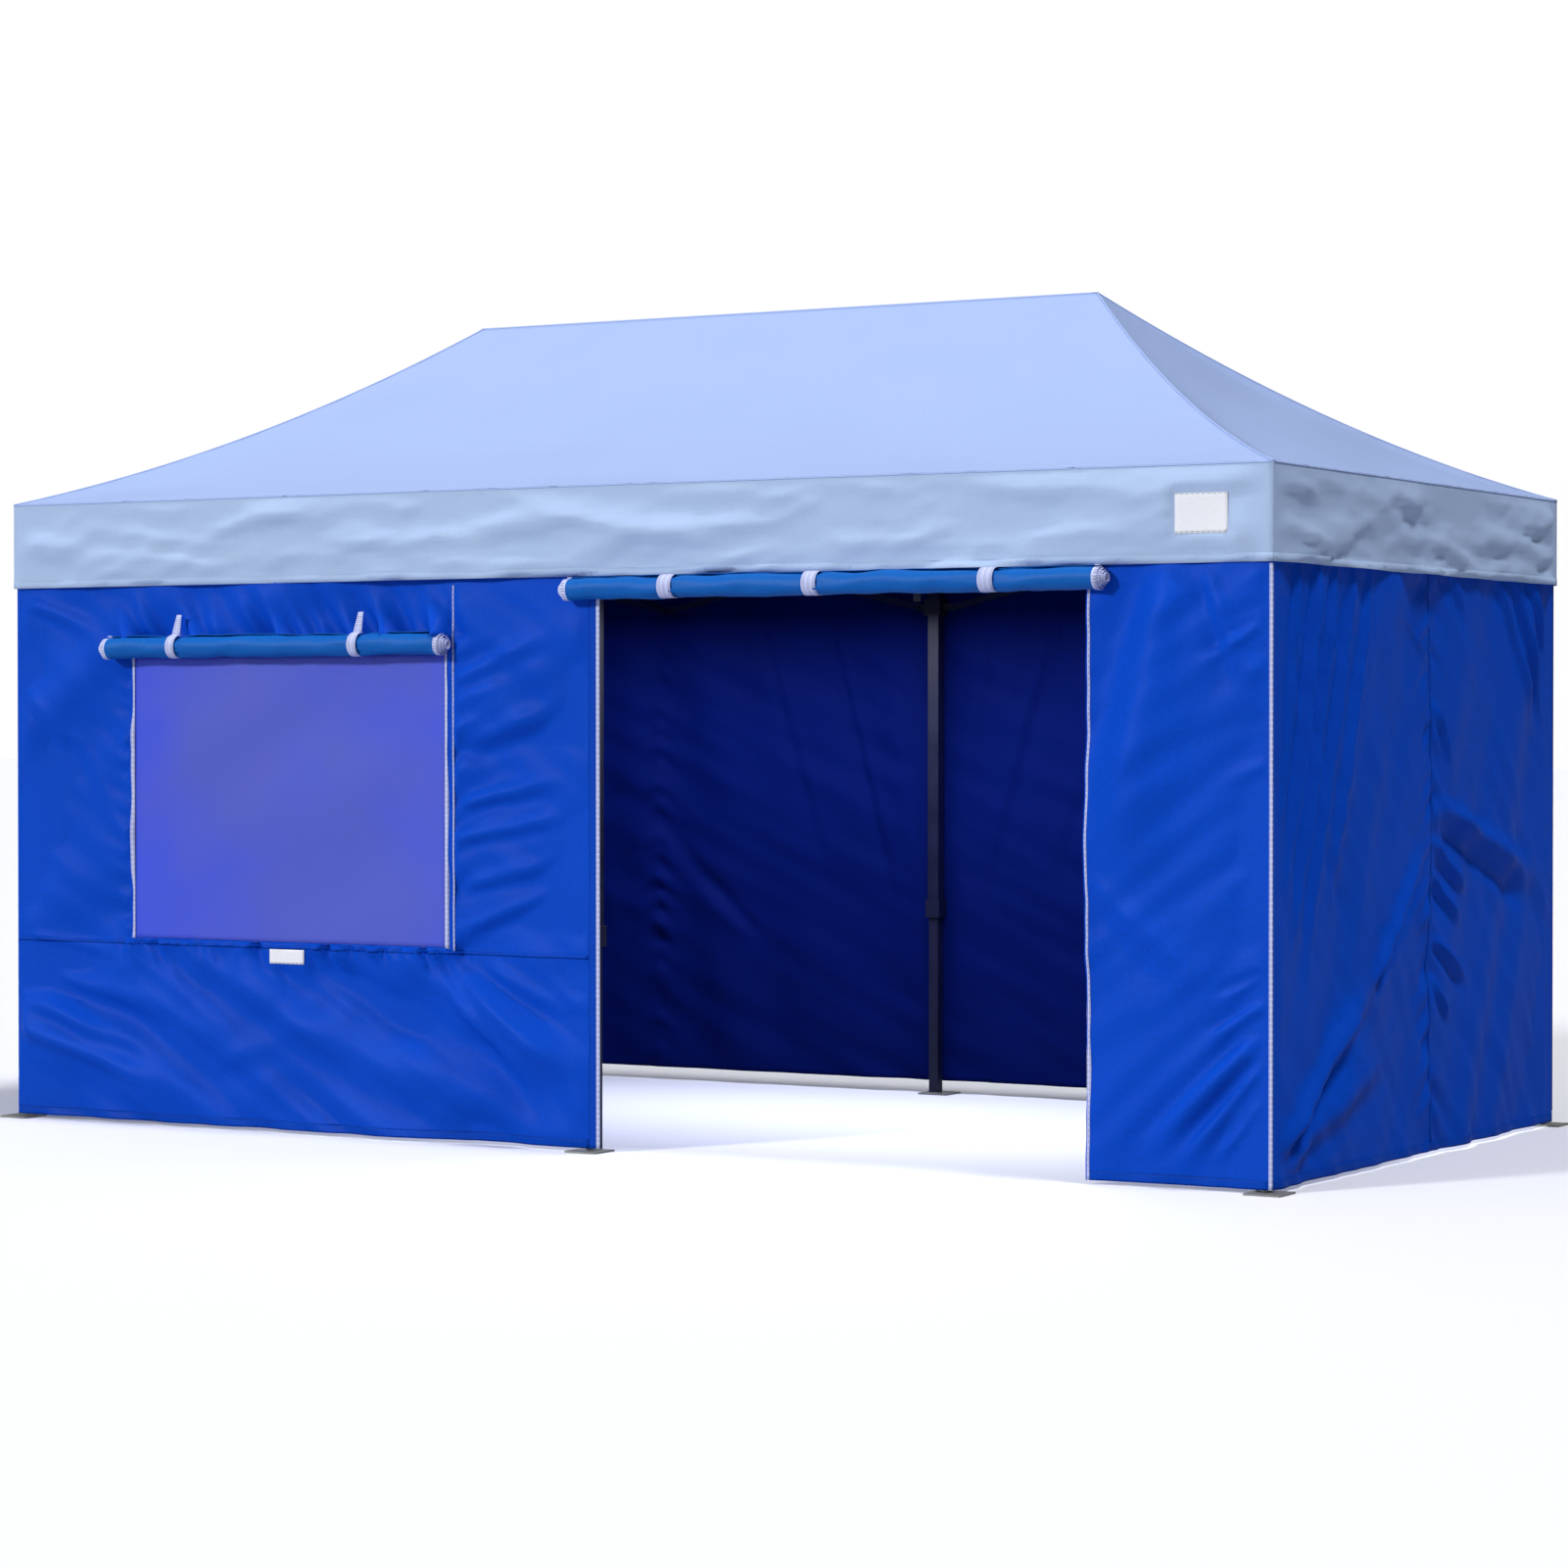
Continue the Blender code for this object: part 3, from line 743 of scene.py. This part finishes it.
def lean_out(value, s, legs):
    """Keeps cloth from going through the legs behind it."""
    room = min(abs(s - leg) for leg in legs) - LEG_HALF
    deepest = 0.001 + 0.10 * max(0.0, room)
    return max(value, -min(deepest, 0.03))


def held_edges(s, z, low, high, top_z=1.90):
    """1 in the open cloth, 0 at the side edges and behind the valance."""
    return ease((s - low) * 14) * ease((high - s) * 14) * ease((top_z + 0.10 - z) * 6)


WINDOW_CREASES = (
    ((-0.53, 1.33), (-0.02, 1.50), 0.050, 0.016),
    ((-0.53, 1.55), (-0.10, 1.74), 0.040, 0.010),
    ((-0.53, 1.14), (-0.06, 1.24), 0.035, 0.015),
    ((-0.53, 1.02), (-0.05, 1.12), 0.030, 0.011),
    ((-0.53, 0.86), (-0.05, 0.98), 0.035, 0.012),
    ((-0.50, 0.72), (-0.02, 0.90), 0.035, 0.012),
    ((-0.56, 0.62), (-0.01, 0.20), 0.055, 0.020),
    ((-0.44, 0.62), (0.00, 0.42), 0.040, 0.014),
    ((-0.62, 0.60), (-0.04, 0.04), 0.050, 0.014),
    ((-2.43, 0.55), (-1.70, 0.40), 0.045, 0.016),
    ((-2.43, 0.44), (-1.72, 0.24), 0.040, 0.014),
    ((-2.43, 0.33), (-1.74, 0.14), 0.040, 0.012),
    ((-2.43, 0.66), (-1.95, 0.60), 0.030, 0.010),
    ((-2.40, 1.55), (-2.15, 1.28), 0.040, 0.010),
    ((-2.40, 1.86), (-2.02, 1.72), 0.035, 0.012),
    ((-2.20, 1.40), (-1.98, 1.10), 0.045, 0.008),
    ((-1.60, 0.20), (-1.00, 0.45), 0.070, 0.008),
)
DOOR_CREASES = (
    ((2.13, 1.98), (1.88, 0.85), 0.110, 0.022),
    ((2.22, 1.90), (2.38, 1.50), 0.040, 0.008),
    ((2.42, 1.72), (2.20, 1.58), 0.022, 0.006),
    ((2.43, 0.66), (2.25, 0.56), 0.020, 0.007),
    ((2.43, 0.58), (2.22, 0.44), 0.022, 0.008),
    ((2.43, 0.50), (1.98, 0.05), 0.045, 0.016),
    ((2.43, 0.40), (2.12, 0.05), 0.030, 0.012),
    ((2.43, 0.30), (2.24, 0.06), 0.024, 0.009),
    ((1.84, 0.95), (2.20, 0.62), 0.060, 0.010),
)
END_CREASES = (
    ((-1.02, 2.00), (-1.20, 0.95), 0.022, 0.014),
    ((-0.86, 2.00), (-1.16, 0.80), 0.028, 0.018),
    ((-0.72, 2.00), (-1.10, 0.60), 0.030, 0.018),
    ((-0.58, 2.00), (-1.00, 0.50), 0.030, 0.014),
    ((-0.42, 2.00), (-0.80, 0.70), 0.034, 0.010),
    ((-1.22, 0.10), (-0.42, 0.62), 0.055, 0.028),
    ((-0.50, 0.56), (0.06, 1.06), 0.045, 0.022),
    ((-1.20, 0.05), (-0.20, 0.40), 0.060, 0.012),
    ((0.08, 1.16), (1.16, 0.84), 0.060, 0.026),
    ((0.08, 1.04), (0.42, 0.84), 0.026, 0.014),
    ((0.08, 0.93), (0.36, 0.74), 0.024, 0.012),
    ((0.08, 0.72), (0.44, 0.54), 0.026, 0.014),
    ((0.08, 0.60), (0.26, 0.42), 0.022, 0.012),
    ((0.08, 1.50), (0.24, 1.26), 0.020, 0.010),
    ((0.06, 1.62), (-0.20, 1.80), 0.020, 0.008),
    ((0.80, 2.00), (1.20, 1.30), 0.030, 0.016),
    ((0.94, 2.00), (1.21, 1.55), 0.022, 0.014),
    ((0.66, 1.96), (1.05, 1.40), 0.028, 0.010),
    ((0.20, 2.00), (0.40, 1.72), 0.022, 0.008),
)


ZIP_X = -0.535  # a zip beside the window, where the cloth is gathered
LABEL = (-1.309, 0.585, -1.162, 0.635)


def window_relief(x, z):
    left, right, sill, head = WINDOW
    value = 0.034 * streaks(x, z, 35, 0.9, 0.22, 3.1) + 0.014 * streaks(x, z, -32, 0.40, 0.09, 7.7)
    below = ease((sill - z) * 7)
    value += below * 0.046 * streaks(x, z, -24, 0.9, 0.17, 15.2)
    value += below * 0.020 * streaks(x, z, -32, 0.55, 0.07, 18.6)
    beside = ease((right + 0.14 - x) * 8) * ease((x - left + 0.10) * 8)
    value += 0.040 * beside * pucker(x, sill - 0.012 - z, 0.050, 0.06, 2.0, -0.5)
    value += 0.050 * beside * pucker(x, z - head - 0.05, 0.075, 0.10, 5.0, 0.6)
    upright = ease((head + 0.1 - z) * 8) * ease((z - sill + 0.10) * 8)
    value += 0.016 * upright * pucker(z, left - 0.02 - x, 0.055, 0.06, 8.0, -0.4)
    value += 0.020 * upright * pucker(z, x - right - 0.04, 0.075, 0.14, 9.0, -0.4)
    for start, end, width, height in WINDOW_CREASES:
        value += 1.25 * height * crease(x, z, start, end, width)
    if z > sill - 0.02:
        value *= 0.1 + 0.9 * ease(abs(x - ZIP_X) * 45)
    # flat behind the hook-and-loop label
    beyond = max(LABEL[0] - x, x - LABEL[2], LABEL[1] - z, z - LABEL[3])
    value *= ease((beyond + 0.004) * 30)
    # flat against the film all round the window
    away = max(left - x, x - right, sill - z, z - head)
    value *= ease((away + 0.002) * 40)
    return lean_out(value * held_edges(x, z, -WALL_X, DOOR_LEFT), x, (-LEG_X, 0.0))


def door_relief(x, z):
    value = 0.030 * streaks(x, z, 75, 0.9, 0.22, 13.1) + 0.010 * streaks(x, z, 38, 0.35, 0.08, 17.7)
    for start, end, width, height in DOOR_CREASES:
        value += 1.7 * height * crease(x, z, start, end, width)
    value += 0.014 * pucker(z, WALL_X - 0.02 - x, 0.06, 0.07, 12.0, 0.4)
    # the narrow panel is loose at its free edge and bellies out above its middle
    value += 0.045 * ease((z - 0.05) / 1.1) * ease((2.1 - z) / 0.9) * ease((WALL_X - x) / 0.5)
    if x < DOOR_RIGHT:
        value *= 0.2
    return lean_out(value * held_edges(x, z, 0.0, WALL_X), x, (0.0, LEG_X))


SEAM_S = 0.07  # the centre seam of an end wall


def end_relief(seed):
    def relief(s, z):
        value = 0.026 * streaks(s, z, 68, 1.1, 0.20, seed)
        value += 0.010 * streaks(s, z, -50, 0.40, 0.08, seed + 4)
        for start, end, width, height in END_CREASES:
            value += 1.45 * height * crease(s, z, start, end, width)
        open_cloth = ease(abs(s - SEAM_S) * 30)
        value += 0.020 * open_cloth * pucker(z, s - SEAM_S, 0.065, 0.080, seed + 6, 0.8)
        value += 0.016 * open_cloth * pucker(z, SEAM_S - s, 0.060, 0.065, seed + 7, 0.8)
        value -= 0.004 * math.exp(-(((s - SEAM_S) / 0.006) ** 2))
        return lean_out(value * held_edges(s, z, -WALL_Y, WALL_Y), s, (-LEG_Y, LEG_Y))

    return relief


def back_relief(s, z):
    value = 0.032 * streaks(s, z, 80, 1.0, 0.22, 31.0) + 0.012 * streaks(s, z, 25, 0.5, 0.09, 35.0)
    for centre in (-SEAM_S - 1.2, 1.2 + SEAM_S):
        value += 0.018 * pucker(z, abs(s - centre), 0.060, 0.06, centre + 40, 0.7)
        for start, end, width, height in END_CREASES[::2]:
            value += 0.7 * height * crease((s - centre) * (1 if centre > 0 else -1), z, start, end, width)
    return lean_out(value * held_edges(s, z, -WALL_X, WALL_X), s, (-LEG_X, 0.0, LEG_X))


# %% Hang the walls
CLOTH_GAP = 0.0016  # from a wall to the trims sewn on it
HEM_WIDTH = 0.03


def wall_surface(turn, plane, relief):
    matrix = Matrix.Rotation(turn, 4, "Z")

    def surface(s, z, lift=0.0):
        return matrix @ Vector((s, -(plane - 0.0015 + relief(s, z) + lift), z))

    return surface


WALLS = {
    # name: group, surface, lowest and highest point on the flat cloth
    "window_wall": ("front", wall_surface(0, WALL_Y, window_relief), (-WALL_X, HEM_Z), (0.022, WALL_TOP)),
    "door_wall": ("front", wall_surface(0, WALL_Y, door_relief), (DOOR_LEFT, HEM_Z), (WALL_X, WALL_TOP)),
    "right_wall": (
        "right",
        wall_surface(math.pi / 2, WALL_X, end_relief(21.0)),
        (-WALL_Y + 0.003, HEM_Z),
        (WALL_Y - 0.003, WALL_TOP),
    ),
    "left_wall": (
        "left",
        wall_surface(-math.pi / 2, WALL_X, end_relief(51.0)),
        (-WALL_Y + 0.003, HEM_Z),
        (WALL_Y - 0.003, WALL_TOP),
    ),
    "back_wall": (
        "back",
        wall_surface(math.pi, WALL_Y, back_relief),
        (-WALL_X, BACK_HEM_Z),
        (WALL_X, WALL_TOP),
    ),
}
REPLACED = {
    "window_wall": "wall_front_left",
    "door_wall": "wall_front_right",
    "right_wall": "wall_right",
    "left_wall": "wall_left",
    "back_wall": "wall_back",
}
OPENING = {
    "window_wall": WINDOW,
    "door_wall": (DOOR_LEFT - 1, DOOR_RIGHT, HEM_Z - 1, HEADER_Z),
}
FRAME_CUTS = {
    "window_wall": (("x", WINDOW[0]), ("x", WINDOW[1]), ("y", WINDOW[2]), ("y", WINDOW[3])),
    "door_wall": (("x", DOOR_RIGHT), ("y", HEADER_Z)),
}
for name, (group, surface, low, high) in WALLS.items():
    bm = bmesh.new()
    cell = 0.017 if name == "back_wall" else 0.013
    add_grid(bm, low, high, cell, surface, FRAME_CUTS.get(name, ()), OPENING.get(name))
    # inner=1 gives the inside face the lining with painted shade
    wall = make_piece(name, bm, [WALL_CLOTH, LINING_PAINTED_SHADE], 0.0012, inner=1)
    attach(wall, group)
    print(name, len(wall.data.polygons), "faces")


# %% [markdown]
# ## Wall trims
# White zip tape runs down both sides of the door and the window and down the front corner. Every
# bottom edge has a stitched hem, and a flat felled seam crosses the window wall below the window.
# They are narrow strips on the same surface as the wall, a little further out.


# %% Strips sewn on a wall
def add_strips(name, wall, rects, material, lift=CLOTH_GAP, thickness=0.0012):
    """rects are (s0, z0, s1, z1) on the wall. A strip's own length runs along its UV X."""
    group, surface, low, high = WALLS[wall]
    bm = bmesh.new()
    for s0, z0, s1, z1 in rects:
        upright = z1 - z0 > s1 - s0
        cells = (0.008, 0.013) if upright else (0.013, 0.008)
        faces = add_grid(bm, (s0, z0), (s1, z1), cells, lambda s, z: surface(s, z, lift))
        if upright:
            uv = bm.loops.layers.uv["Cloth"]
            for face in faces:
                for loop in face.loops:
                    loop[uv].uv = (loop[uv].uv[1], loop[uv].uv[0])
    piece = make_piece(name, bm, [material], thickness)
    return attach(piece, group)


sewn = {name: [] for name in WALLS}
left, right, sill, head = WINDOW
window_wall, door_wall = sewn["window_wall"], sewn["door_wall"]
window_wall.append(
    add_strips(
        "window_wall_tape",
        "window_wall",
        [
            (left - 0.012, sill - 0.004, left + 0.003, head + 0.002),
            (right - 0.004, sill - 0.004, right + 0.011, head + 0.002),
            (0.034, HEM_Z, 0.048, 1.86),
        ],
        TAPE,
    )
)
window_wall.append(
    add_strips(
        "window_wall_zip",
        "window_wall",
        [(ZIP_X - 0.003, 0.65, ZIP_X + 0.003, 1.88)],
        TAPE,
        lift=0.003,
    )
)
window_wall.append(
    add_strips("window_wall_zip_flap", "window_wall", [(0.004, HEM_Z, 0.045, 1.86)], WALL_HEM, lift=0.0003)
)
window_wall.append(
    add_strips("window_wall_label", "window_wall", [LABEL], PATCH, lift=0.003)
)
window_wall.append(
    add_strips(
        "window_wall_hem",
        "window_wall",
        [(-WALL_X + 0.002, HEM_Z, 0.003, HEM_Z + HEM_WIDTH), (-WALL_X + 0.002, 0.636, 0.003, 0.648)],
        WALL_HEM,
    )
)
door_wall.append(
    add_strips(
        "door_wall_tape",
        "door_wall",
        [
            (DOOR_RIGHT - 0.002, HEM_Z, DOOR_RIGHT + 0.013, 1.86),
            (WALL_X - 0.009, HEM_Z, WALL_X + 0.002, 1.895),
        ],
        TAPE,
    )
)
door_wall.append(
    add_strips(
        "door_wall_hem",
        "door_wall",
        [(DOOR_RIGHT + 0.014, HEM_Z, WALL_X - 0.015, HEM_Z + HEM_WIDTH)],
        WALL_HEM,
    )
)
for name in ("right_wall", "left_wall"):
    sewn[name].append(
        add_strips(name + "_tape", name, [(-WALL_Y + 0.003, HEM_Z, -WALL_Y + 0.009, 1.895)], TAPE)
    )
    sewn[name].append(
        add_strips(
            name + "_hem",
            name,
            [
                (-WALL_Y + 0.010, HEM_Z, WALL_Y - 0.004, HEM_Z + HEM_WIDTH),
                (SEAM_S - 0.006, HEM_Z + HEM_WIDTH, SEAM_S + 0.006, 2.0),
            ],
            WALL_HEM,
        )
    )
sewn["back_wall"].append(
    add_strips(
        "back_wall_hem",
        "back_wall",
        [
            (-WALL_X + 0.004, BACK_HEM_Z, WALL_X - 0.004, BACK_HEM_Z + HEM_WIDTH),
            (-SEAM_S - 1.206, BACK_HEM_Z + HEM_WIDTH, -SEAM_S - 1.194, 2.0),
            (-0.006, BACK_HEM_Z + HEM_WIDTH, 0.006, 2.0),
            (SEAM_S + 1.194, BACK_HEM_Z + HEM_WIDTH, SEAM_S + 1.206, 2.0),
        ],
        WALL_HEM,
        lift=0.0035,
        thickness=0.0008,
    )
)

# %% [markdown]
# ## Window film
# The film is one sheet, welded behind the opening, that bulges a little between its edges.

# %% Window film sheet
def film_drape(x, z):
    share_x = (x - FILM_LOW[0]) / (FILM_HIGH[0] - FILM_LOW[0])
    share_z = (z - FILM_LOW[2]) / (FILM_HIGH[2] - FILM_LOW[2])
    belly = 16 * share_x * (1 - share_x) * share_z * (1 - share_z)
    wave = belly * (0.006 + 0.016 * streaks(x, z, 40, 0.9, 0.28, 61.0))
    return Vector((x, -(WALL_Y - 0.0035 + max(-0.004, wave)), z))


bm = bmesh.new()
low = (FILM_LOW[0] - 0.004, FILM_LOW[2] - 0.004)
high = (FILM_HIGH[0] + 0.004, FILM_HIGH[2] + 0.004)
add_grid(bm, low, high, 0.02, film_drape)
window_film = make_piece("film_window", bm, [FILM], 0.001)
attach(window_film, "front")
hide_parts("window_film")

# %% [markdown]
# ## Rolled-up flaps
# The door flap and the window flap are rolled up and strapped. Each roll is a strip of cloth on a
# spiral, a little loose, that sags between its straps. White zip tape along the flap's edge shows
# as a spiral at the ends.


# %% Rolls
TELESCOPE = 0.03  # how far the innermost turn sticks out at the ends


def roll_drape(ends, centre_z, out_y, radius, turns, straps, droop):
    """s runs along the roll, t round the spiral from the core outwards, both in metres."""
    core = radius * 0.28
    pitch = (radius - core) / turns
    full = 2 * math.pi * turns

    def drape(s, t):
        angle = full * t
        grow = core + pitch * angle / (2 * math.pi)
        pinch = min(abs(s - strap) for strap in straps)
        loose = 1 - 0.10 * math.exp(-((pinch / 0.035) ** 2))
        ripple = 0.0060 * noise.noise(Vector((s / 0.11, angle / 1.3 + s * 2, 3.0)))
        ripple += 0.0085 * pucker(angle * radius, pinch - 0.018, 0.022, 0.06, 6.0)
        grow = grow * loose + ripple * (grow / radius)
        to_end = ease((ends[0] + 0.12 - s) / 0.12)
        # the inner turns stick out at both ends, so the taped edge shows as a spiral
        s += TELESCOPE * (1 - t) * (ease((s - ends[1] + 0.08) / 0.08) - ease((ends[0] + 0.08 - s) / 0.08))
        z = centre_z - droop * to_end - 0.003 * math.sin((s - ends[0]) * 5) ** 2
        turn = angle - full + math.pi / 2
        return Vector((s, -(out_y + 0.006 * to_end) + grow * math.cos(turn), z + grow * math.sin(turn)))

    return drape


def make_roll(name, ends, centre_z, out_y, radius, turns, straps, droop):
    drape = roll_drape(ends, centre_z, out_y, radius, turns, straps, droop)
    bm = bmesh.new()
    rows = round(turns * 22)
    add_grid(bm, (ends[0], 0), (ends[1], 1), (0.018, 1 / rows), drape)
    uv = bm.loops.layers.uv["Cloth"]
    around = math.pi * radius * 1.28 * turns
    for face in bm.faces:
        for loop in face.loops:
            loop[uv].uv = (loop[uv].uv[0], loop[uv].uv[1] * around)
        middle = face.calc_center_median().x
        if middle < ends[0] + 0.012 or middle > ends[1] - 0.012:
            face.material_index = 1
    bmesh.ops.recalc_face_normals(bm, faces=bm.faces[:])
    roll = make_piece(name, bm, [ROLL_CLOTH, TAPE], 0.0022)
    return attach(roll, "front")


def make_strap(name, x, centre_z, out_y, radius, width, tab):
    """A band round the roll, whose tail lies on the wall above it."""
    bm = bmesh.new()
    start, stop = math.radians(-150), math.radians(105)

    def band(s, t):
        angle = start + (stop - start) * t
        reach = radius + 0.0015
        return Vector((x + s, -out_y - reach * math.cos(angle), centre_z + reach * math.sin(angle)))

    add_grid(bm, (-width / 2, 0), (width / 2, 1), (width / 4, 1 / 28), band)
    if tab:
        top = centre_z + radius

        def tail(s, t):
            share = t / tab
            near = -out_y - 0.004 * (1 - share)
            across = s * (1 - 0.45 * share) + 0.010 * share
            return Vector((x + across, near + 0.004 * share, top + t - 0.004))

        add_grid(bm, (-width / 2, 0), (width / 2, tab), (width / 4, tab / 6), tail)
    strap = make_piece(name, bm, [TAPE], 0.0016)
    return attach(strap, "front")


# each roll's two ends, its axis as a height and a distance out, its radius, and its straps
DOOR_ROLL_X = (-0.055, 1.885)
DOOR_ROLL = (1.861, WALL_Y + 0.032, 0.038)
DOOR_STRAPS = (0.338, 0.878, 1.508)
WINDOW_ROLL_X = (-1.985, -0.555)
WINDOW_ROLL = (1.684, WALL_Y + 0.043, 0.040)
WINDOW_STRAPS = (-1.683, -0.901)
window_wall.append(make_roll("window_flap_roll", WINDOW_ROLL_X, *WINDOW_ROLL, 4, WINDOW_STRAPS, 0.004))
door_wall.append(make_roll("door_flap_roll", DOOR_ROLL_X, *DOOR_ROLL, 4.5, DOOR_STRAPS, 0.006))
for index, x in enumerate(WINDOW_STRAPS):
    window_wall.append(make_strap(f"window_strap_{index + 1}", x, *WINDOW_ROLL, 0.036, 0.075))
for index, x in enumerate(DOOR_STRAPS):
    door_wall.append(make_strap(f"door_strap_{index + 1}", x, *DOOR_ROLL, 0.052, 0.0))

for name, (group, surface, low, high) in WALLS.items():
    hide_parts(REPLACED[name])
